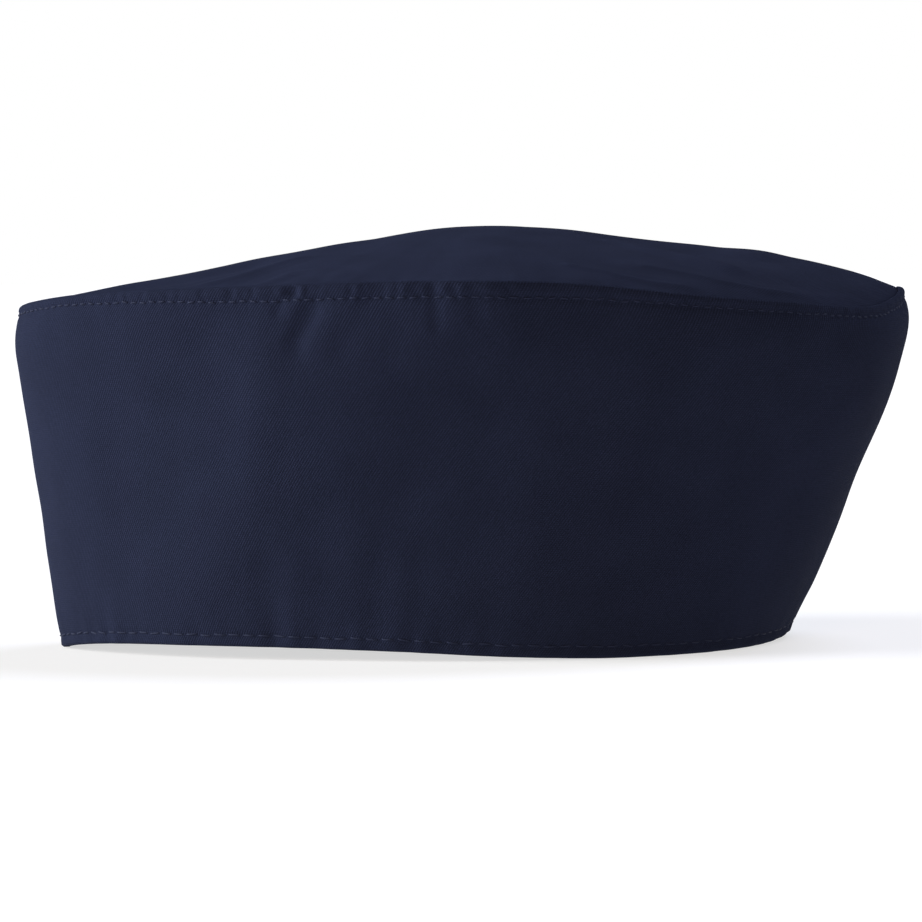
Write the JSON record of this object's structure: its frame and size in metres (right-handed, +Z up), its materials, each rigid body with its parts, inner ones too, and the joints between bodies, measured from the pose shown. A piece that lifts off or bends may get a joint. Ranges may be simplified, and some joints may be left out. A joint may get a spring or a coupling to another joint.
{
  "type": "chef skull cap",
  "caption": "Soft skull cap of dark twill: a deep side band that leans outwards from a turned hem, and an oval crown panel set inside the band's folded top edge.",
  "frame": {"origin": "on the surface that the cap rests on, under the middle of its outline", "axes": "+Z up, +X towards the back of the head, -Y the near side of the cap in the picture"},
  "size_m": [0.2453, 0.1838, 0.1142],
  "materials": {
    "band_twill": "matt navy cotton twill with a visible diagonal",
    "crown_twill": "matt navy cotton twill, smooth to the eye",
    "thread": "navy polyester sewing thread with a soft sheen"
  },
  "bodies": {
    "root": {"side_band": "band_twill", "crown_panel": "crown_twill"}
  },
  "joints": []
}
